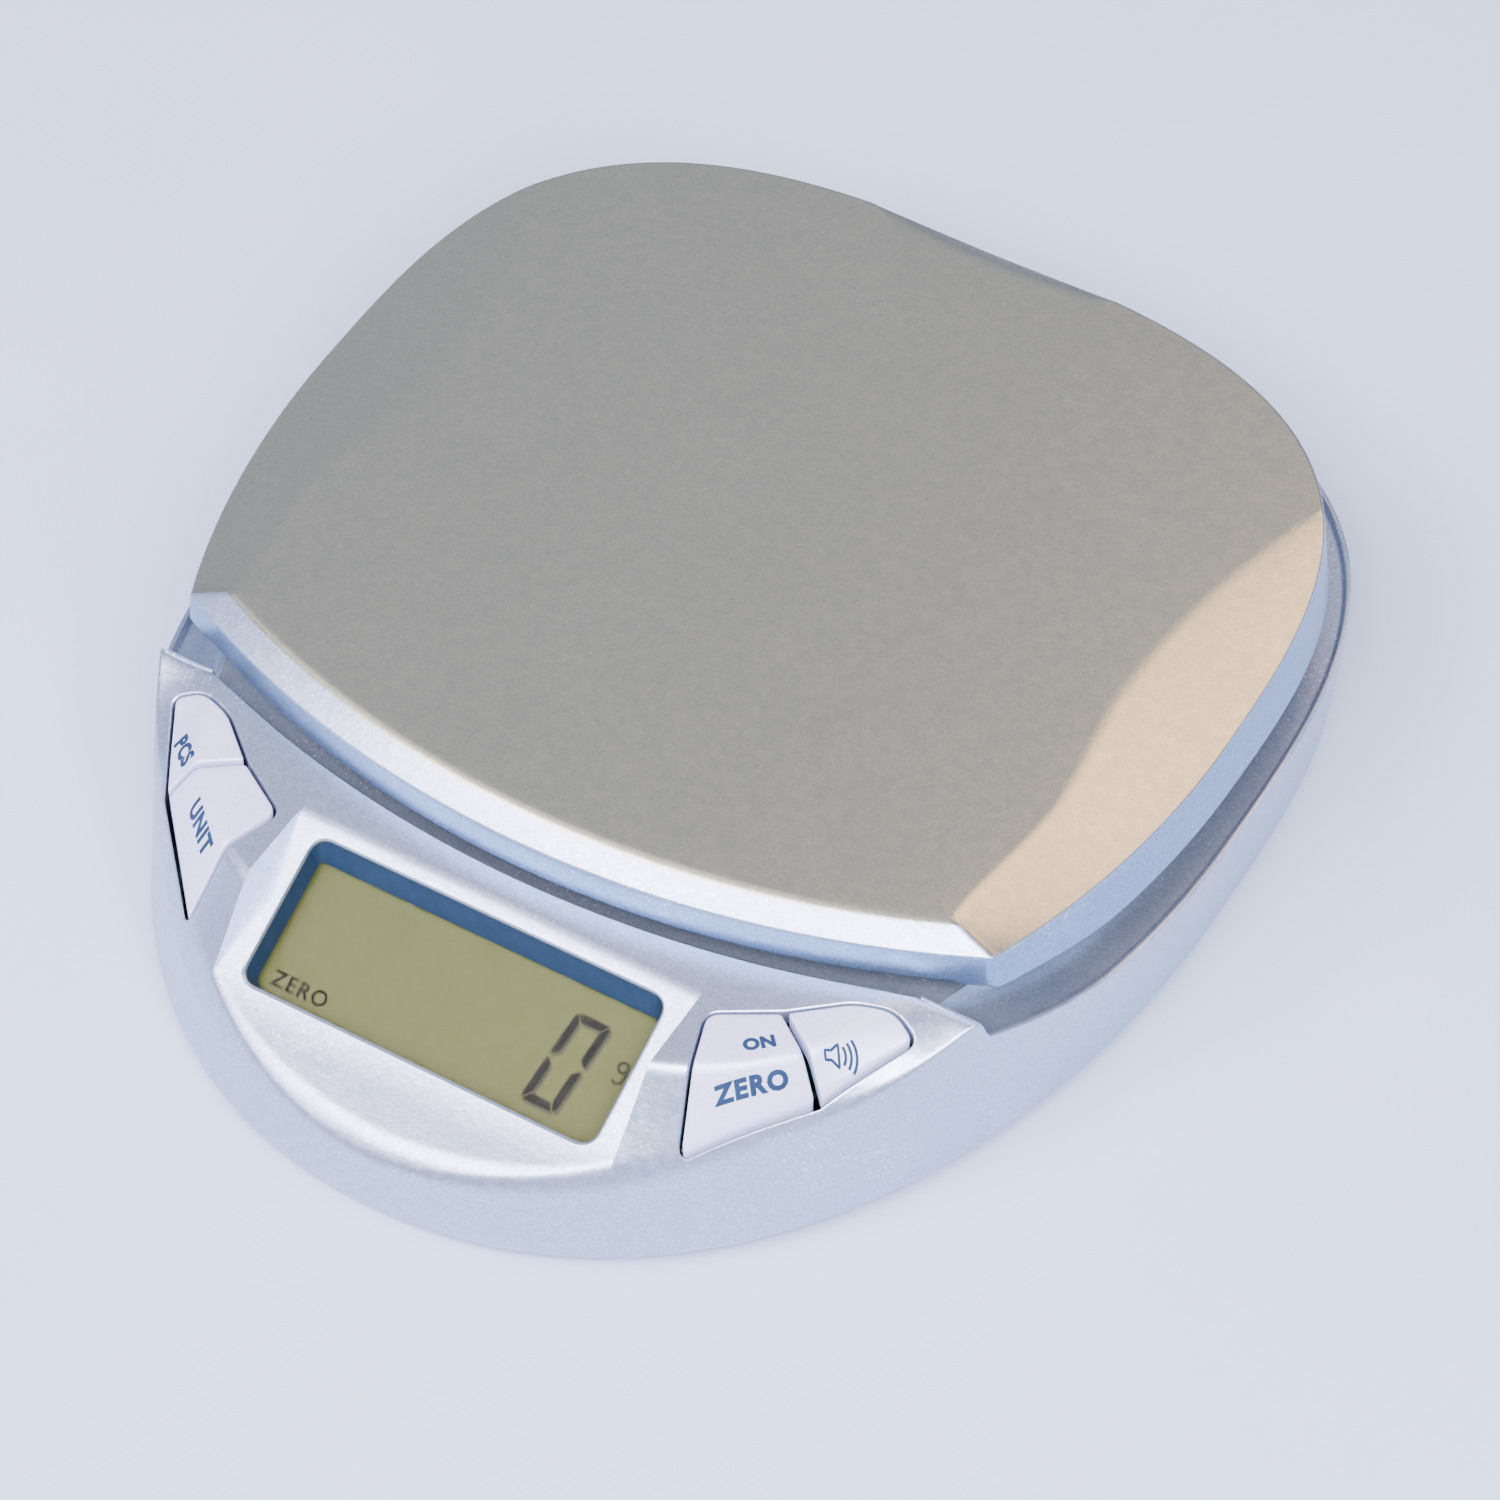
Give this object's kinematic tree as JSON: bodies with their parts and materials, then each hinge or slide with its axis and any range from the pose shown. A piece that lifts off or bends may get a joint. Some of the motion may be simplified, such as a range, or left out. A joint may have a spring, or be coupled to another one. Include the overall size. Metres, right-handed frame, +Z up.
{
  "type": "compact digital counter scale",
  "caption": "Low egg-shaped weighing scale with a bowed square platform, a recessed display sloping towards the user and pairs of keys on either side.",
  "frame": {"origin": "centre of the footprint's bounding box, on the surface that the feet stand on", "axes": "+Z up; +Y from the display at the front to the back of the platform; +X to the right of a person facing the display"},
  "size_m": [0.1316, 0.156, 0.032],
  "materials": {
    "silver_shell": "fine metallic silver",
    "platform_silver": "satin metallic silver",
    "key_plastic": "smooth satin",
    "window_clear": "clear",
    "lcd_grey": "polarised display glass",
    "reflector": "satin film",
    "white_plastic": "matte",
    "amber_film": "film",
    "board_green": "solder mask",
    "black_plastic": "matte",
    "plunger_red": "matte",
    "cell_bar": "milled",
    "gauge_coating": "matte",
    "steel": "zinc plated",
    "wire_white": "satin insulation",
    "wire_red": "satin insulation",
    "cell_wrap": "printed wrap over a steel can",
    "rubber_dark": "matte",
    "foil": "blank satin foil"
  },
  "bodies": {
    "housing": {"base_shell": "silver_shell", "top_shell": "silver_shell", "load_cell": "cell_bar", "strain_gauges": "gauge_coating", "load_cell_base_screws": "steel", "load_cell_leads": "wire_white", "display_window": "window_clear", "lcd_glass": "lcd_grey", "lcd_reflector": "reflector", "lcd_holder": "white_plastic", "display_flex": "amber_film", "main_board": "board_green", "processor_chip": "black_plastic", "oscillator_can": "steel", "piezo_buzzer": "black_plastic", "tact_switches": "black_plastic", "battery_front": "cell_wrap", "battery_rear": "cell_wrap", "battery_springs": "steel", "battery_contacts": "steel", "battery_bridge": "steel", "battery_leads": "wire_red", "board_screws": "steel", "housing_screws": "steel", "foot_front_left": "rubber_dark", "foot_front_right": "rubber_dark", "foot_rear_left": "rubber_dark", "foot_rear_right": "rubber_dark", "rating_plate": "foil"},
    "platter": {"platform": "platform_silver", "platform_frame": "steel", "frame_grommets": "rubber_dark", "load_cell_post": "cell_bar", "load_cell_top_screws": "steel"},
    "count_button": {"count_key": "key_plastic", "count_plunger": "plunger_red"},
    "unit_button": {"unit_key": "key_plastic", "unit_plunger": "plunger_red"},
    "on_zero_button": {"on_zero_key": "key_plastic", "on_zero_plunger": "plunger_red"},
    "sound_button": {"sound_key": "key_plastic", "sound_plunger": "plunger_red"},
    "door": {"battery_door": "silver_shell"}
  },
  "joints": [
    {"name": "platform_load", "type": "slide", "parent": "housing", "child": "platter", "axis": [0, 0, -1], "range_m": [0, 0.0005], "stiffness_N_per_m": 20000, "springref_m": -0.0001, "deforming": ["load_cell"]},
    {"name": "count_press", "type": "slide", "parent": "housing", "child": "count_button", "axis": [0, 0, -1], "range_m": [0, 0.0005], "stiffness_N_per_m": 500, "springref_m": -0.001},
    {"name": "unit_press", "type": "slide", "parent": "housing", "child": "unit_button", "axis": [0, 0, -1], "range_m": [0, 0.0005], "stiffness_N_per_m": 500, "springref_m": -0.001},
    {"name": "on_zero_press", "type": "slide", "parent": "housing", "child": "on_zero_button", "axis": [0, 0, -1], "range_m": [0, 0.0005], "stiffness_N_per_m": 500, "springref_m": -0.001},
    {"name": "sound_press", "type": "slide", "parent": "housing", "child": "sound_button", "axis": [0, 0, -1], "range_m": [0, 0.0005], "stiffness_N_per_m": 500, "springref_m": -0.001},
    {"name": "battery_door_hinge", "type": "hinge", "parent": "housing", "child": "door", "pos_m": [0, 0.0351, 0.0021], "axis": [-1, 0, 0], "range_deg": [0, 75]}
  ]
}
